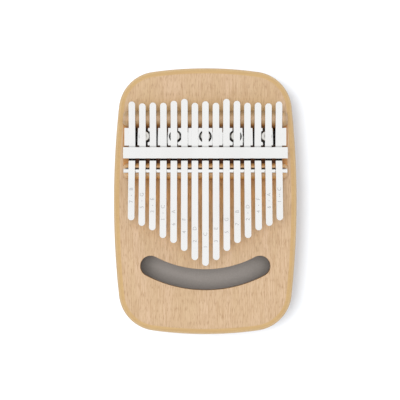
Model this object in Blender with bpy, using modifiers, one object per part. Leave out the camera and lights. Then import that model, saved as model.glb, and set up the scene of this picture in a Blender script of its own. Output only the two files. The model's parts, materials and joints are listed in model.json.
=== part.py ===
"""A fifteen-note mbira of the board-mounted kind (a kalimba).

It is a shallow wooden sound box with a smile-shaped sound hole, a wooden bridge with steel fittings, and
spring-steel tines held down by a pressure bar.

Frame: the box lies on its back. +Z is up, out of the soundboard; +Y runs from the playing tips of the tines
to their rear ends; X is the row of tines, left to right as the player sees them. The origin is the centre of
the back board's underside. Sizes below are in millimetres.

Each tine is one strip of spring steel. Solids here are rigid, so the strip is parted at the front rod, the
line it bends over: the root lies in the bridge and slides for tuning, and the reed is plucked and turns
about the rod.
"""

from math import acos, atan2, cos, pi, radians, sin, sqrt

import bmesh
import bpy
from mathutils import Matrix, Vector

MM = 0.001
FIT = 0.3  # gap between pieces that rest on or pass through each other

# Sound box
BODY_LENGTH = 180.0
BODY_WIDTH = 123.8
BODY_THICKNESS = 30.0
SIDE_RADIUS = 595.0  # bulge of the long sides
END_RADIUS = 258.6  # bulge of the short ends
CORNER_RADIUS = 26.5
BOARD_THICKNESS = 4.0  # soundboard and back board
TOP_ROUND = 5.5  # rounded outer edge of the soundboard, seen from above
TOP_ROUND_HEIGHT = 3.7
BACK_ROUND = 2.8  # rounded outer edge of the back board
WALL = 7.0
LINER_THICKNESS = 1.0
LINER_MARGIN = 0.6  # between the liner's edge and the wall

# Smile-shaped sound hole: a band along an arc, with round ends
HOLE_ARC_RADIUS = 78.6
HOLE_WIDTH = 14.0
HOLE_ARC_Y = 25.75  # centre of the arc
HOLE_HALF_ANGLE = radians(27.9)

# Tines
TINE_COUNT = 15
TINE_PITCH = 6.92
TINE_WIDTH = 4.3
TINE_THICKNESS = 1.1
# From the middle tine outwards; the two sides match
REAR_END_Y = (65.75, 64.75, 67.3, 66.05, 64.75, 64.9, 64.4, 65.6)
TIP_Y = (-41.8, -38.1, -32.2, -27.1, -23.9, -18.9, -16.0, -12.4)
# Knots of the tines' top line: (y, z, slope dz/dy); straight behind the first and past the last
TINE_KNOTS = ((38.0, 39.22, 0.0664), (33.6, 39.05, 0.0), (20.0, 42.1, -0.235), (12.0, 43.3, -0.105))

# Bridge
METAL_LENGTH = 108.0
WOOD_LENGTH = 109.6
ROD_Y = 20.0
ROD_RADIUS = 1.5
ROD_PLAY = 0.45  # from the rod up to the tines: room for the bent strips to slide
BLOCK_HEIGHT = 3.0  # between its two saddles
BLOCK_CORNER = 3.4  # corners, seen from above
SADDLE_WIDTH = 10.8
SADDLE_ROUND = 5.1  # rounded top edges of the saddles, seen from above
SADDLE_ROUND_HEIGHT = 4.6
SADDLE_PROUD = 0.2  # of the front saddle's top above the rod's centre
REAR_SADDLE_Y = 54.8
PLATE_THICKNESS = 1.2
PLATE_FRONT_Y = 37.0
PLATE_REAR_Y = 49.0
BAR_Y = 31.75
BAR_WIDTH = 7.5
BAR_BOTTOM_Z = 39.7
BAR_THICKNESS = 3.2
BAR_FOOT_WIDTH = 2.4  # flat that presses on the tines
BAR_SIDE_HEIGHT = 1.0
BAR_ROUND = 0.5
BRACE_LENGTH = 100.0
BRACE_THICKNESS = 6.0
BRACE_FRONT_Y = 15.0
BRACE_REAR_Y = 58.0

# Fasteners
SCREW_SPACING = 20.0
SCREW_COUNT = 5
SCREW_Y = 43.1
SCREW_HEAD_RADIUS = 3.45
SCREW_FLAT_RADIUS = 2.6
SCREW_HEAD_HEIGHT = 1.7
SCREW_RIM = 0.4  # upright edge of the head
SCREW_RADIUS = 2.0
SCREW_REACH = 4.5  # into the brace
POINT_LENGTH = 1.5
POINT_RADIUS = 0.4
WASHER_RADIUS = 4.25
WASHER_THICKNESS = 0.8
SOCKET_RADIUS = 1.45
SOCKET_DEPTH = 1.2
BOLT_PLACES = (-6.5, -2.5, 2.5, 6.5)  # in tine pitches: the gaps that the clamp bolts pass through
BOLT_RADIUS = 1.0
BOLT_HEAD_RADIUS = 1.9
BOLT_HEAD_HEIGHT = 1.6
BOLT_REACH = 2.0  # into the pressure bar
BOLT_TAPER = (0.2, 0.3)  # at the end of its shank: inwards, and along it

ROUND_SIDES = 20
HALF_LENGTH, HALF_WIDTH = BODY_LENGTH / 2, BODY_WIDTH / 2
BOARD_BOTTOM_Z = BODY_THICKNESS - BOARD_THICKNESS
WOOD_BOTTOM_Z = BODY_THICKNESS + FIT
BLOCK_TOP_Z = BODY_THICKNESS + BLOCK_HEIGHT
PLATE_TOP_Z = BLOCK_TOP_Z + FIT + PLATE_THICKNESS
BRACE_TOP_Z = BOARD_BOTTOM_Z - FIT
BRACE_BOTTOM_Z = BRACE_TOP_Z - BRACE_THICKNESS


def tine_top(y):
    """Height of the tines' top line: a Hermite curve through the knots, straight beyond them."""
    first, last = TINE_KNOTS[0], TINE_KNOTS[-1]
    if y >= first[0]:
        return first[1] + (y - first[0]) * first[2]
    if y <= last[0]:
        return last[1] + (y - last[0]) * last[2]
    for (y0, z0, m0), (y1, z1, m1) in zip(TINE_KNOTS, TINE_KNOTS[1:]):
        if y1 <= y <= y0:
            span = y1 - y0
            t = (y - y0) / span
            return (
                (2 * t**3 - 3 * t**2 + 1) * z0
                + (t**3 - 2 * t**2 + t) * span * m0
                + (3 * t**2 - 2 * t**3) * z1
                + (t**3 - t**2) * span * m1
            )
    return last[1]


ROD_Z = tine_top(ROD_Y) - TINE_THICKNESS - ROD_PLAY - ROD_RADIUS


# ---------------------------------------------------------------- scene and materials


def clear_scene():
    for obj in list(bpy.data.objects):
        bpy.data.objects.remove(obj)


def collection(name):
    made = bpy.data.collections.new(name)
    bpy.context.scene.collection.children.link(made)
    return made


def material(name, colour, roughness, metallic=0.0):
    made = bpy.data.materials.new(name)
    made.use_nodes = True
    shader = made.node_tree.nodes["Principled BSDF"]
    shader.inputs["Base Color"].default_value = (*colour, 1.0)
    shader.inputs["Roughness"].default_value = roughness
    shader.inputs["Metallic"].default_value = metallic
    return made


def new_object(name, mesh, finish, group):
    obj = bpy.data.objects.new(name, mesh)
    group.objects.link(obj)
    if finish:
        obj.data.materials.append(finish)
    return obj


def mesh_from(bm, name):
    """Scales a bmesh drawn in millimetres to metres and turns it into a mesh."""
    bmesh.ops.scale(bm, vec=(MM, MM, MM), verts=bm.verts)
    bmesh.ops.recalc_face_normals(bm, faces=bm.faces)
    mesh = bpy.data.meshes.new(name)
    bm.to_mesh(mesh)
    bm.free()
    return mesh


def smooth(obj, angle=radians(35)):
    obj.data.shade_smooth()
    obj.data.set_sharp_from_angle(angle=angle)


def bevel(obj, width, segments, angle=radians(40)):
    added = obj.modifiers.new("rounded edges", "BEVEL")
    added.width = width * MM
    added.segments = segments
    added.limit_method = "ANGLE"
    added.angle_limit = angle


def cut(obj, *cutters):
    for cutter in cutters:
        added = obj.modifiers.new("cut " + cutter.name, "BOOLEAN")
        added.operation = "DIFFERENCE"
        added.object = cutter


# ---------------------------------------------------------------- shapes


def body_outline(inset, end_steps=5, corner_steps=8, side_steps=5):
    """Points round the box's outline, taken in by inset: four large arcs joined by four corner arcs."""
    a, b = HALF_WIDTH - inset, HALF_LENGTH - inset
    side, end, corner = SIDE_RADIUS - inset, END_RADIUS - inset, CORNER_RADIUS - inset
    side_centre, end_centre = Vector((a - side, 0)), Vector((0, b - end))
    reach_side, reach_end = side - corner, end - corner
    between = end_centre - side_centre
    along = (reach_side**2 - reach_end**2 + between.length**2) / (2 * between.length)
    across = sqrt(reach_side**2 - along**2)
    direction = between.normalized()
    corner_centre = side_centre + direction * along + Vector((-direction.y, direction.x)) * across
    side_turn = atan2(*(corner_centre - side_centre).yx)
    end_turn = atan2(*(corner_centre - end_centre).yx)
    quarter = []
    for centre, radius, start, stop, steps in (
        (side_centre, side, 0.0, side_turn, side_steps),
        (corner_centre, corner, side_turn, end_turn, corner_steps),
        (end_centre, end, end_turn, pi / 2, end_steps),
    ):
        for step in range(steps):
            turn = start + (stop - start) * step / steps
            quarter.append(centre + radius * Vector((cos(turn), sin(turn))))
    top = [Vector((0.0, b))]
    mirrored = [Vector((-p.x, p.y)) for p in reversed(quarter[1:])]
    upper = quarter + top + mirrored
    lower = [Vector((-p.x, -p.y)) for p in upper]
    return upper + lower


def outlined_shell(name, profile, closed, finish, group, outline=body_outline):
    """A loft of an outline, one ring for each (inset, z) of the profile, capped unless it is closed."""
    bm = bmesh.new()
    rings = [[bm.verts.new((p.x, p.y, z)) for p in outline(inset)] for inset, z in profile]
    pairs = list(zip(rings, rings[1:]))
    if closed:
        pairs.append((rings[-1], rings[0]))
    for below, above in pairs:
        for i in range(len(below)):
            after = (i + 1) % len(below)
            bm.faces.new((below[i], below[after], above[after], above[i]))
    if not closed:
        bm.faces.new(rings[0])
        bm.faces.new(rings[-1])
    obj = new_object(name, mesh_from(bm, name), finish, group)
    smooth(obj)
    return obj


def quarter_round(radius, z_edge, upwards, steps=4, height=None):
    """(inset, z) points of a rounded board edge, from the wall to the flat face at z_edge."""
    drop = (height or radius) if upwards else -(height or radius)
    return [
        (radius * (1 - cos(pi / 2 * i / steps)), z_edge - drop * (1 - sin(pi / 2 * i / steps)))
        for i in range(steps + 1)
    ]


def block_outline(low, high, corner, inset, steps=4):
    """Points round a rectangle with rounded corners, taken in by inset."""
    turn_radius = max(corner - inset, 0.2)
    points = []
    for x_side, y_side, first in ((1, 1, 0.0), (-1, 1, pi / 2), (-1, -1, pi), (1, -1, 3 * pi / 2)):
        x = (high[0] if x_side > 0 else low[0]) - x_side * (inset + turn_radius)
        y = (high[1] if y_side > 0 else low[1]) - y_side * (inset + turn_radius)
        for step in range(steps + 1):
            turn = first + pi / 2 * step / steps
            points.append(Vector((x + turn_radius * cos(turn), y + turn_radius * sin(turn))))
    return points


def box(name, low, high, finish, group):
    bm = bmesh.new()
    size = Vector(high) - Vector(low)
    centre = (Vector(high) + Vector(low)) / 2
    bmesh.ops.create_cube(bm, size=1.0, matrix=Matrix.Translation(centre) @ Matrix.Diagonal((*size, 1.0)))
    return new_object(name, mesh_from(bm, name), finish, group)


def upright_cylinder(name, x, y, low, high, radius, group, sides=ROUND_SIDES, finish=None):
    bm = bmesh.new()
    place = Matrix.Translation((x, y, (low + high) / 2))
    bmesh.ops.create_cone(
        bm, cap_ends=True, segments=sides, radius1=radius, radius2=radius, depth=high - low, matrix=place
    )
    return new_object(name, mesh_from(bm, name), finish, group)


def outline_curve(name, points, half_depth, group):
    """A filled flat outline, made thick both ways along its normal."""
    curve = bpy.data.curves.new(name, "CURVE")
    curve.dimensions = "2D"
    curve.fill_mode = "BOTH"
    curve.extrude = half_depth * MM
    line = curve.splines.new("POLY")
    line.points.add(len(points) - 1)
    for point, (x, y) in zip(line.points, points):
        point.co = (x * MM, y * MM, 0.0, 1.0)
    line.use_cyclic_u = True
    return new_object(name, curve, None, group)


def curve_to_mesh(curve_obj, finish=None):
    """Swaps a curve object for a welded mesh object of the same name and place."""
    bpy.context.view_layer.update()
    graph = bpy.context.evaluated_depsgraph_get()
    mesh = bpy.data.meshes.new_from_object(curve_obj.evaluated_get(graph))
    bm = bmesh.new()
    bm.from_mesh(mesh)
    bmesh.ops.remove_doubles(bm, verts=bm.verts, dist=0.001 * MM)
    bmesh.ops.recalc_face_normals(bm, faces=bm.faces)
    bm.to_mesh(mesh)
    bm.free()
    name, group, place = curve_obj.name, curve_obj.users_collection[0], curve_obj.matrix_world.copy()
    bpy.data.objects.remove(curve_obj)
    obj = new_object(name, mesh, finish, group)
    obj.matrix_world = place
    return obj


def along_x(name, section, length, finish, group):
    """A bar along X with the given outline of (y, z) points, centred on x = 0."""
    obj = outline_curve(name, section, length / 2, group)
    # The outline's own x, y and normal become the world's y, z and x
    obj.matrix_world = Matrix(((0, 0, 1, 0), (1, 0, 0, 0), (0, 1, 0, 0), (0, 0, 0, 1)))
    return curve_to_mesh(obj, finish)


# ---------------------------------------------------------------- sound box


def smile_points(widen=0.0, arc_steps=14, end_steps=8):
    """The sound hole's outline, seen from above."""
    inner = HOLE_ARC_RADIUS - HOLE_WIDTH / 2 - widen
    outer = HOLE_ARC_RADIUS + HOLE_WIDTH / 2 + widen

    def on_arc(radius, turn):
        return Vector((radius * sin(turn), HOLE_ARC_Y - radius * cos(turn)))

    points = []
    for step in range(arc_steps + 1):
        points.append(on_arc(outer, -HOLE_HALF_ANGLE + 2 * HOLE_HALF_ANGLE * step / arc_steps))
    for side in (1, -1):
        centre = on_arc(HOLE_ARC_RADIUS, side * HOLE_HALF_ANGLE)
        outward = Vector((sin(side * HOLE_HALF_ANGLE), -cos(side * HOLE_HALF_ANGLE)))
        onward = Vector((-outward.y, outward.x)) * side
        for step in range(1, end_steps):
            turn = pi * step / end_steps
            swing = cos(turn) * side
            points.append(centre + (HOLE_WIDTH / 2 + widen) * (outward * swing + onward * sin(turn)))
        if side == 1:
            for step in range(arc_steps + 1):
                points.append(on_arc(inner, HOLE_HALF_ANGLE - 2 * HOLE_HALF_ANGLE * step / arc_steps))
    return points


def screw_places():
    return [(i - (SCREW_COUNT - 1) / 2) * SCREW_SPACING for i in range(SCREW_COUNT)]


def bolt_places():
    return [place * TINE_PITCH for place in BOLT_PLACES]


def fastener_cutters(group):
    """Clearance holes for the bridge screws and the clamp bolts, through everything that they pass."""
    made = []
    low = BRACE_BOTTOM_Z - 1
    for i, x in enumerate(screw_places()):
        name, radius = f"cut_screw_{i + 1}", SCREW_RADIUS + FIT
        made.append(upright_cylinder(name, x, SCREW_Y, low, PLATE_TOP_Z + 1, radius, group))
    for i, x in enumerate(bolt_places()):
        name, radius = f"cut_bolt_{i + 1}", BOLT_RADIUS + FIT
        made.append(upright_cylinder(name, x, BAR_Y, low, BAR_BOTTOM_Z + BOLT_REACH + FIT, radius, group))
    return made


def make_box(finishes, parts, cutters, holes):
    back_profile = list(reversed(quarter_round(BACK_ROUND, 0.0, upwards=False)))
    back_profile.append((0.0, BOARD_THICKNESS))
    outlined_shell("back_board", back_profile, False, finishes["body"], parts)

    wall_low, wall_high = BOARD_THICKNESS + FIT, BOARD_BOTTOM_Z - FIT
    frame_profile = [(0.0, wall_low), (0.0, wall_high), (WALL, wall_high), (WALL, wall_low)]
    outlined_shell("side_frame", frame_profile, True, finishes["body"], parts)

    top_round = quarter_round(TOP_ROUND, BODY_THICKNESS, upwards=True, height=TOP_ROUND_HEIGHT)
    top_profile = [(0.0, BOARD_BOTTOM_Z)] + top_round
    soundboard = outlined_shell("soundboard", top_profile, False, finishes["face"], parts)
    smile = outline_curve("cut_smile", smile_points(), BOARD_THICKNESS, cutters)
    smile.location.z = (BOARD_BOTTOM_Z + BODY_THICKNESS) / 2 * MM
    smile = curve_to_mesh(smile)
    cut(soundboard, smile, *holes)

    liner_low = BOARD_THICKNESS + FIT
    inset = WALL + LINER_MARGIN
    liner_profile = [(inset, liner_low), (inset, liner_low + LINER_THICKNESS)]
    outlined_shell("chamber_liner", liner_profile, False, finishes["card"], parts)

    half = BRACE_LENGTH / 2
    low, high = (-half, BRACE_FRONT_Y, BRACE_BOTTOM_Z), (half, BRACE_REAR_Y, BRACE_TOP_Z)
    cut(box("inner_brace", low, high, finishes["body"], parts), *holes)


# ---------------------------------------------------------------- bridge


def saddle(name, y, top, finish, group):
    """A wooden bead across the box, with rounded corners and rounded top edges."""
    low = (-WOOD_LENGTH / 2, y - SADDLE_WIDTH / 2)
    high = (WOOD_LENGTH / 2, y + SADDLE_WIDTH / 2)

    def outline(inset):
        return block_outline(low, high, BLOCK_CORNER, inset)

    rounded = quarter_round(SADDLE_ROUND, top, upwards=True, steps=5, height=SADDLE_ROUND_HEIGHT)
    return outlined_shell(name, [(0.0, WOOD_BOTTOM_Z)] + rounded, False, finish, group, outline)


def rod_cylinder(name, radius, length, finish, group):
    bm = bmesh.new()
    place = Matrix.Translation((0, ROD_Y, ROD_Z)) @ Matrix.Rotation(pi / 2, 4, "Y")
    bmesh.ops.create_cone(
        bm, cap_ends=True, segments=24, radius1=radius, radius2=radius, depth=length, matrix=place
    )
    return new_object(name, mesh_from(bm, name), finish, group)


def bar_section():
    """(y, z) outline of the pressure bar: flat on top, narrowing below to the foot on the tines."""
    top = BAR_BOTTOM_Z + BAR_THICKNESS
    half, foot = BAR_WIDTH / 2, BAR_FOOT_WIDTH / 2
    return [
        (BAR_Y - foot, BAR_BOTTOM_Z),
        (BAR_Y + foot, BAR_BOTTOM_Z),
        (BAR_Y + half, top - BAR_SIDE_HEIGHT),
        (BAR_Y + half, top),
        (BAR_Y - half, top),
        (BAR_Y - half, top - BAR_SIDE_HEIGHT),
    ]


def make_bridge(finishes, parts, cutters, holes):
    """One block of wood with a saddle along each long edge, and the steel pieces that lie in it."""
    block = saddle("bridge_block", ROD_Y, ROD_Z + SADDLE_PROUD, finishes["body"], parts)
    rear_top = tine_top(REAR_SADDLE_Y) - TINE_THICKNESS - FIT
    rear = saddle("join_rear_saddle", REAR_SADDLE_Y, rear_top, None, cutters)
    half = WOOD_LENGTH / 2
    low, high = (-half, ROD_Y, WOOD_BOTTOM_Z), (half, REAR_SADDLE_Y, BLOCK_TOP_Z)
    floor = box("join_block_floor", low, high, None, cutters)
    for joined in (floor, rear):
        added = block.modifiers.new("join " + joined.name, "BOOLEAN")
        added.operation = "UNION"
        added.object = joined
    cut(block, rod_cylinder("cut_groove", ROD_RADIUS + FIT, WOOD_LENGTH + 10, None, cutters), *holes)
    smooth(rod_cylinder("front_rod", ROD_RADIUS, METAL_LENGTH, finishes["steel"], parts))

    half = METAL_LENGTH / 2
    low, high = (-half, PLATE_FRONT_Y, BLOCK_TOP_Z + FIT), (half, PLATE_REAR_Y, PLATE_TOP_Z)
    cut(box("bridge_plate", low, high, finishes["steel"], parts), *holes)
    bar = along_x("pressure_bar", bar_section(), METAL_LENGTH, finishes["steel"], parts)
    bevel(bar, BAR_ROUND, 2, radians(50))
    cut(bar, *holes)


def turned(name, profile, x, y, finish, group, ring=False):
    """A turned piece on an upright axis at (x, y), from (radius, z) points that run down its outer side.

    A ring's profile closes on itself, clear of the axis.
    """
    bm = bmesh.new()
    verts = [bm.verts.new((radius, 0.0, z)) for radius, z in profile]
    for a, b in zip(verts, verts[1:] + verts[:1] if ring else verts[1:]):
        bm.edges.new((a, b))
    bmesh.ops.scale(bm, vec=(MM, MM, MM), verts=bm.verts)
    mesh = bpy.data.meshes.new(name)
    bm.to_mesh(mesh)
    bm.free()
    obj = new_object(name, mesh, finish, group)
    obj.location = (x * MM, y * MM, 0.0)
    screw = obj.modifiers.new("turned", "SCREW")
    screw.axis = "Z"
    screw.steps = ROUND_SIDES
    screw.render_steps = ROUND_SIDES
    screw.use_merge_vertices = True
    screw.merge_threshold = 0.00001
    return obj


def make_fasteners(finishes, parts, cutters):
    """Button-head screws on washers through the plate, and bolts that pull the bar down from inside."""
    washer_low = PLATE_TOP_Z + FIT
    washer_high = washer_low + WASHER_THICKNESS
    seat = washer_high + FIT
    top = seat + SCREW_HEAD_HEIGHT
    tip = BRACE_TOP_Z - SCREW_REACH
    rim = SCREW_HEAD_RADIUS - SCREW_FLAT_RADIUS
    turns = [pi / 2 * step / 4 for step in range(5)]
    drop = SCREW_HEAD_HEIGHT - SCREW_RIM
    dome = [(SCREW_FLAT_RADIUS + rim * sin(turn), top - drop * (1 - cos(turn))) for turn in turns]
    inner, outer = SCREW_RADIUS + FIT, WASHER_RADIUS
    section = [(inner, washer_high), (outer, washer_high), (outer, washer_low), (inner, washer_low)]
    for i, x in enumerate(screw_places()):
        turned(f"screw_washer_{i + 1}", section, x, SCREW_Y, finishes["fibre"], parts, ring=True)
        profile = [(0.0, top), *dome, (SCREW_HEAD_RADIUS, seat), (SCREW_RADIUS, seat)]
        profile += [(SCREW_RADIUS, tip + POINT_LENGTH), (POINT_RADIUS, tip), (0.0, tip)]
        screw = turned(f"bridge_screw_{i + 1}", profile, x, SCREW_Y, finishes["steel"], parts)
        socket = upright_cylinder(
            f"cut_socket_{i + 1}", x, SCREW_Y, top - SOCKET_DEPTH, top + 1, SOCKET_RADIUS, cutters, sides=6
        )
        cut(screw, socket)
    head_top = BRACE_BOTTOM_Z - FIT
    shank_top = BAR_BOTTOM_Z + BOLT_REACH
    for i, x in enumerate(bolt_places()):
        inwards, along = BOLT_TAPER
        profile = [(0.0, shank_top), (BOLT_RADIUS - inwards, shank_top), (BOLT_RADIUS, shank_top - along)]
        profile += [(BOLT_RADIUS, head_top), (BOLT_HEAD_RADIUS, head_top)]
        profile += [(BOLT_HEAD_RADIUS, head_top - BOLT_HEAD_HEIGHT), (0.0, head_top - BOLT_HEAD_HEIGHT)]
        turned(f"clamp_bolt_{i + 1}", profile, x, BAR_Y, finishes["steel"], parts)


# ---------------------------------------------------------------- tines


def round_end(y_end, inwards, steps=4):
    """(y, half width) stations of a tine's half-round end, from its extreme point inwards."""
    radius = TINE_WIDTH / 2
    first = acos(0.97)  # short of the extreme point, so that the end keeps an edge of its own
    stations = []
    for step in range(steps + 1):
        turn = first + (pi / 2 - first) * step / steps
        stations.append((y_end + inwards * radius * (1 - cos(turn)), radius * sin(turn)))
    return stations


def strip(name, stations, finish, group):
    """A tine's strip through (y, half width) stations: a grid on the top line, made thick downwards."""
    bm = bmesh.new()
    bmesh.ops.create_grid(bm, x_segments=1, y_segments=len(stations) - 1, size=1.0)
    rows = sorted({round(v.co.y, 5) for v in bm.verts})
    for vert in bm.verts:
        y, half = stations[rows.index(round(vert.co.y, 5))]
        vert.co = (half if vert.co.x > 0 else -half, y, tine_top(y))
    obj = new_object(name, mesh_from(bm, name), finish, group)
    if obj.data.polygons[0].normal.z < 0:
        obj.data.flip_normals()
    solid = obj.modifiers.new("thickness", "SOLIDIFY")
    solid.thickness = TINE_THICKNESS * MM
    solid.offset = -1.0
    return obj


def make_tines(finishes, parts):
    middle = (TINE_COUNT - 1) // 2
    half = TINE_WIDTH / 2
    bends = [TINE_KNOTS[0][0], 36.0, 33.6, 31.0, 28.5, 26.0, 23.0]
    parting_rear, parting_front = ROD_Y + FIT / 2, ROD_Y - FIT / 2
    for i in range(TINE_COUNT):
        side = abs(i - middle)
        x = (i - middle) * TINE_PITCH * MM
        root = round_end(REAR_END_Y[side], -1) + [(y, half) for y in bends] + [(parting_rear, half)]
        reed = [(parting_front, half), (17.0, half), (14.5, half), (TINE_KNOTS[-1][0], half)]
        reed += list(reversed(round_end(TIP_Y[side], 1)))
        for part, stations in (("root", root), ("reed", reed)):
            ordered = sorted(stations)
            tine = strip(f"tine_{i + 1:02d}_{part}", ordered, finishes["tine"], parts)
            tine.location.x = x


def main():
    clear_scene()
    parts, cutters = collection("mbira"), collection("cutters")
    finishes = {
        "face": material("beech_face", (0.71, 0.49, 0.32), 0.55),
        "body": material("beech_body", (0.66, 0.45, 0.23), 0.5),
        "steel": material("nickel_plated_steel", (0.85, 0.85, 0.84), 0.18, 1.0),
        "tine": material("spring_steel", (0.87, 0.87, 0.86), 0.22, 1.0),
        "fibre": material("black_fibre", (0.02, 0.02, 0.02), 0.6),
        "card": material("grey_card", (0.6, 0.58, 0.56), 0.95),
    }
    holes = fastener_cutters(cutters)
    make_box(finishes, parts, cutters, holes)
    make_bridge(finishes, parts, cutters, holes)
    make_fasteners(finishes, parts, cutters)
    make_tines(finishes, parts)
    for cutter in cutters.objects:
        cutter.hide_render = True
        cutter.display_type = "WIRE"


main()
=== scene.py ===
"""Looks of a board-mounted mbira (a kalimba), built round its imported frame.

Lengths below are millimetres, in the frame's axes: +Z up out of the soundboard, +Y from the playing tips
of the tines to their rear ends. Sizes that the frame holds are read from it.
"""

import json
from math import acos, atan2, cos, pi, radians, sin, sqrt

import bmesh
import bpy
from mathutils import Matrix, Vector

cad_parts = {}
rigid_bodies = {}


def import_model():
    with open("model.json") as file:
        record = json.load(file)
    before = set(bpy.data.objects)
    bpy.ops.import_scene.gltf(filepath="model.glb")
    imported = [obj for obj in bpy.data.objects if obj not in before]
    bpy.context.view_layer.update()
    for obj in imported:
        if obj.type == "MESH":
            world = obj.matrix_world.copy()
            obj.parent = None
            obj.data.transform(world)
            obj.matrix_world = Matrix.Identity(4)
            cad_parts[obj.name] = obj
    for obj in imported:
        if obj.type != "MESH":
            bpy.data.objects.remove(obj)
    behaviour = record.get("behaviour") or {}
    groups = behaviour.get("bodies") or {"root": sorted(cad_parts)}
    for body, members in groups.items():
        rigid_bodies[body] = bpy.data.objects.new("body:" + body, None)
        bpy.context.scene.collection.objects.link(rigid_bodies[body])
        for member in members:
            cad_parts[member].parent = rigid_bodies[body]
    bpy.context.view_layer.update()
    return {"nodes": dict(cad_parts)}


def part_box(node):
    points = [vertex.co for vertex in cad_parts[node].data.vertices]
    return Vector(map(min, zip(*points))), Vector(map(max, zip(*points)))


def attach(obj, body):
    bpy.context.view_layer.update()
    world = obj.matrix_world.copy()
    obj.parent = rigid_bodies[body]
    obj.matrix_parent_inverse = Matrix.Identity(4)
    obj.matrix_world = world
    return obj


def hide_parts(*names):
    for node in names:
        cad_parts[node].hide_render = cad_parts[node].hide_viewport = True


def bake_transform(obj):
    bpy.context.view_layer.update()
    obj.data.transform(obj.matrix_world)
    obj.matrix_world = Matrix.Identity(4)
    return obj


MM = 0.001

# Outline of the sound box and of its hole, as in the frame
SIDE_RADIUS = 595.0
END_RADIUS = 258.6
CORNER_RADIUS = 26.5
TOP_ROUND, TOP_ROUND_HEIGHT = 5.5, 3.7
BACK_ROUND = 2.8
WALL = 7.0
HOLE_ARC_RADIUS = 78.6
HOLE_WIDTH = 14.0
HOLE_ARC_Y = 25.75
HOLE_HALF_ANGLE = radians(27.9)
HOLE_EDGE = 0.3  # broken edge of the sound hole
BOARD_EDGE = 0.12  # broken edges of the side frame and the back board
VENEER_THICKNESS = 0.15
PLY_JOINTS = (0.95, 2.0, 3.0)  # depths of the plies' glue lines under the face

# Bridge
SADDLE_WIDTH = 10.8
SADDLE_ROUND, SADDLE_ROUND_HEIGHT = 5.1, 4.6
BLOCK_CORNER, SMALLEST_CORNER = 3.4, 0.3
REAR_SADDLE_Y = 54.8
GROOVE_RADIUS = 1.8
GROOVE_GAP = 0.15  # between the rod and the groove's front
SADDLE_ABOVE_ROD = 0.2  # from the rod's middle up to the front saddle's top
SADDLE_GAP = 0.12  # between the rear saddle and the tines
ROD_EDGE = 0.3
BAR_FOOT_WIDTH = 2.4
BAR_SIDE_HEIGHT = 1.0
BAR_EDGE = 0.45
PLATE_EDGE = 0.25
SCREW_FLAT_RADIUS = 2.6
SCREW_RIM = 0.4
SHANK_RADIUS = 2.0
POINT_LENGTH, POINT_RADIUS = 1.5, 0.4
SOCKET_RADIUS = 1.45
SOCKET_DEPTH = 1.2
WASHER_BORE_RADIUS = 2.3
WASHER_EDGE = 0.15

# Tines
TINE_COUNT = 15
TINE_PITCH = 6.92
TINE_WIDTH = 4.3
TINE_THICKNESS = 1.1
TINE_EDGE = 0.28
TINE_STEP = 1.2  # between cross lines, so that the strip bends smoothly
END_FLAT = 0.015  # share of the end's radius that is cut off, so that the strip has no point there
TINE_KNOTS = (  # (y, z, slope) of the top line, from the rear
    (38.0, 39.22, 0.0664),
    (33.6, 39.05, 0.0),
    (20.0, 42.1, -0.235),
    (12.0, 43.3, -0.105),
)
NOTES = ("B7.", "G5.", "E3.", "C1.", "A6", "F4", "D2", "C1", "E3", "G5", "B7", "D2.", "F4.", "A6.", "C1:")
MARK_SIZE = 3.45
MARK_DEPTH, MARK_LIFT = 0.02, 0.012
DOT_RADIUS, DOT_SPACING = 0.32, 1.4
NUMBER_FROM_TIP, LETTER_FROM_TIP = 12.2, 20.4

# Camera
CAMERA_PLACE = (-3.57, 0.78, 530.7)
CAMERA_LENS = 67.0

# Studio: lights in metres and watts
LIGHT_TARGET = (0.0, 0.0, 0.03)
OVERHEAD_PLACE, OVERHEAD_SIZE, OVERHEAD_POWER = (-0.10, 0.03, 1.3), 0.7, 11.6
FLOOR_KEY_PLACE, FLOOR_KEY_SIZE, FLOOR_KEY_POWER = (-0.42, 0.06, 1.2), 0.5, 10.8
WORLD_STRENGTH = 1.13
# (sine of the height above the horizon, brightness)
WORLD_LEVELS = ((0.0, 0.20), (0.12, 0.22), (0.30, 0.42), (0.50, 1.0), (0.66, 1.0), (0.78, 0.85), (1.0, 0.84))
BACKDROP = (0.86, 0.87, 0.88, 1.0)
FLOOR_HALF_SIZE = 3000.0
FLOOR_DROP = 0.2  # below the part's underside


# ---------------------------------------------------------------- mesh helpers


def new_object(name, data):
    made = bpy.data.objects.new(name, data)
    bpy.context.scene.collection.objects.link(made)
    return made


def mesh_object(name, bm):
    """An object from a bmesh drawn in millimetres."""
    bmesh.ops.scale(bm, vec=(MM, MM, MM), verts=bm.verts)
    bmesh.ops.recalc_face_normals(bm, faces=bm.faces)
    mesh = bpy.data.meshes.new(name)
    bm.to_mesh(mesh)
    bm.free()
    return new_object(name, mesh)


def modify(obj, kind, **settings):
    added = obj.modifiers.new(kind.lower(), kind)
    for key, value in settings.items():
        setattr(added, key, value)
    return added


def settle(obj, smooth_angle=radians(35), cutters=()):
    """Applies the modifiers, removes the cutters that they used, and shades the result smooth."""
    bpy.context.view_layer.update()
    graph = bpy.context.evaluated_depsgraph_get()
    mesh = bpy.data.meshes.new_from_object(obj.evaluated_get(graph))
    obj.modifiers.clear()
    obj.data = mesh
    mesh.shade_smooth()
    mesh.set_sharp_from_angle(angle=smooth_angle)
    for cutter in cutters:
        bpy.data.objects.remove(cutter)
    return obj


def combine(obj, other, operation):
    modify(obj, "BOOLEAN", operation=operation, object=other, solver="EXACT")


def bevel(obj, width, segments, angle):
    """Rounds the edges that turn by more than the angle, in degrees."""
    limits = {"limit_method": "ANGLE", "angle_limit": radians(angle)}
    modify(obj, "BEVEL", width=width * MM, segments=segments, **limits)


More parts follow.
